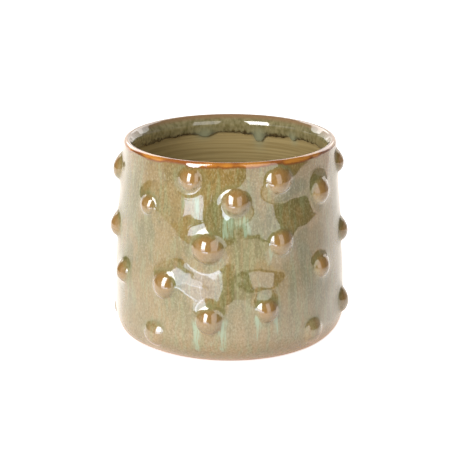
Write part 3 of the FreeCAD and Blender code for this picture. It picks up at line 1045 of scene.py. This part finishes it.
paper, tree, where = new_material("white_studio_paper")
places = add_node(tree, "ShaderNodeSeparateXYZ", {0: where}).outputs
away = add_node(tree, "ShaderNodeVectorMath", {0: where}, operation="LENGTH").outputs["Value"]
sources = {"X": places["X"], "Y": places["Y"], "away": away}
fades = {}
for name, (source, start, end, start_level, end_level, kind) in PAPER_FADES.items():
    fades[name] = ranged(tree, sources[source], start, end, kind, start_level, end_level)
level = add_math(tree, "MULTIPLY", fades["right"], fades["far_left"])
corner = add_math(tree, "MULTIPLY", fades["front"], fades["left"])
for share, other_level in ((corner, CORNER_LEVEL), (fades["behind"], BEHIND_LEVEL)):
    mixed = {"Factor": share, "A": level, "B": other_level}
    level = add_node(tree, "ShaderNodeMix", mixed).outputs["Result"]
level = add_math(tree, "MULTIPLY", level, fades["shade"])
print(f"{len(fades)} fades on the paper")

# %% White studio paper
CAMERA_GLOW = 0.9
MATT_WHITE, WARMED_WHITE, WHITE = "#dcdcdc", "#f0bd98", "#ffffff"
TONE_LAYERS = (
    ("clear", 0, 1, 1.0, LINEAR, "#fff3e6"),
    ("camera", 0, 1, 1.0, LINEAR, WHITE),
)

path = add_node(tree, "ShaderNodeLightPath").outputs
mirrored = add_math(tree, "MAXIMUM", path["Is Glossy Ray"], path["Is Transmission Ray"])
mirrored = add_math(tree, "MULTIPLY", mirrored, level)
glow = add_math(tree, "MULTIPLY_ADD", path["Is Camera Ray"], CAMERA_GLOW, mirrored)
tone_sources = {"clear": fades["clear_of_pot"], "camera": path["Is Camera Ray"]}
tone = lay_colours(tree, tone_sources, WARMED_WHITE, TONE_LAYERS)
glowing = add_node(tree, "ShaderNodeEmission", {"Color": tone, "Strength": glow}).outputs[0]
matt = add_node(tree, "ShaderNodeBsdfDiffuse", {"Color": colour(MATT_WHITE)}).outputs[0]
both = add_node(tree, "ShaderNodeAddShader", {0: glowing, 1: matt}).outputs[0]
add_node(tree, "ShaderNodeOutputMaterial", {"Surface": both})
for sheet in (floor, backdrop):
    sheet.data.materials.append(paper)
print(f"{paper.name}: {len(tree.nodes)} nodes")

# %% [markdown]
# ## The room
# Beyond the paper the camera sees white, the glaze sees a nearly dark room, which makes its mirror images
# crisp, and the shadows get a little light from all round. Light Path tells these three apart again.

# %% World
DARK_ROOM = 0.08
ALL_ROUND = 0.2
SEEN_WHITE = 1.0

world = bpy.data.worlds.new("dim_studio")
bpy.context.scene.world = world
world.use_nodes = True
tree = world.node_tree
tree.nodes.clear()
path = add_node(tree, "ShaderNodeLightPath").outputs
level = ALL_ROUND
for ray, other_level in (("Is Glossy Ray", DARK_ROOM), ("Is Camera Ray", SEEN_WHITE)):
    mixed = {"Factor": path[ray], "A": level, "B": other_level}
    level = add_node(tree, "ShaderNodeMix", mixed).outputs["Result"]
sky = add_node(tree, "ShaderNodeBackground", {"Color": colour(WHITE), "Strength": level}).outputs[0]
add_node(tree, "ShaderNodeOutputWorld", {"Surface": sky})
bpy.context.scene.view_settings.view_transform = "Standard"
print(f"{world.name}: {len(tree.nodes)} nodes")

# %% [markdown]
# ## Softboxes and cards
# A gloss glaze shows its lamps, so they are placed by what the photograph's reflections show: a tall
# softbox at the left, a weaker one at the right, and pale cards low round the front that fill the lower
# wall. The gaps between them draw the dark shapes on the glaze. Each is an area lamp that fills a range of
# turns from the front and of angles above level, so its reflection moves with its range.

# %% Softboxes
WARM, COOL, PINK = "#fff1d8", "#e2ecff", "#ffeadf"
# Turns in degrees, angles above level, distance in metres, radiance, and tint.
SOFTBOXES = {
    "key_left": ((-50, -23.6), (5, 45), 1.0, 8.2, WHITE),
    "key_left_foot": ((-50, -23.6), (-6, 5), 1.0, 3.6, COOL),
    "key_left_low": ((-42, -23.6), (-10.8, -6.2), 0.3, 2.6, COOL),
    "card_mid": ((-24, -5), (-16, -6.2), 0.3, 2.1, COOL),
    "card_left": ((-60, -6), (-28, -9.7), 0.45, 3.4, COOL),
    "card_far_left": ((-88, -50), (-8, 22), 1.0, 0.42, WHITE),
    "fill_right": ((15, 47), (-7.6, 45), 1.0, 1.35, WHITE),
    "card_right": ((5, 60), (-28, -9.2), 1.0, 1.1, WARM),
    "card_far_right": ((60, 115), (-28, -5.8), 1.0, 1.15, PINK),
    "card_behind_right": ((115, 150), (-28, -5.8), 1.0, 0.95, PINK),
    "haze_right": ((95, 135), (-5.8, 15), 1.0, 0.3, PINK),
    "back_left": ((-165, -125), (18, 50), 1.0, 2.1, WHITE),
    "back_right": ((125, 165), (18, 50), 1.0, 1.3, WHITE),
}


def width_of(angles, distance):
    """Width of a panel that fills a range of angles at a distance."""
    return 2 * distance * math.tan(math.radians(angles[1] - angles[0]) / 2)


for name, (turns, rises, distance, radiance, tint) in SOFTBOXES.items():
    turn = math.radians(sum(turns) / 2)
    rise = math.radians(sum(rises) / 2)
    way = Vector((math.sin(turn) * math.cos(rise), -math.cos(turn) * math.cos(rise), math.sin(rise)))
    lamp = bpy.data.lights.new(name, "AREA")
    lamp.shape = "RECTANGLE"
    lamp.color = colour(tint)[:3]
    lamp.size = width_of(turns, distance)
    lamp.size_y = width_of(rises, distance)
    lamp.energy = radiance * math.pi * lamp.size * lamp.size_y
    box = bpy.data.objects.new(name, lamp)
    box.location = Vector((0, 0, POT_MIDDLE)) + way * distance
    box.rotation_euler = (-way).to_track_quat("-Z", "Y").to_euler()
    box.visible_camera = False
    bpy.context.collection.objects.link(box)
print(f"{len(SOFTBOXES)} softboxes and cards")

# %% [markdown]
# ## Tying the pieces to the CAD model
# Every piece rides on the pot's one rigid body. The glazed pot and bosses stand for their CAD nodes, which
# are hidden, and the collar is extra, because glaze isn't in the CAD model.

# %% Finish
for piece in (pot, collar):
    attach(piece, "root")
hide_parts("thrown_pot")
for name, boss in bosses.items():
    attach(boss, "root")
    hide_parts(name)
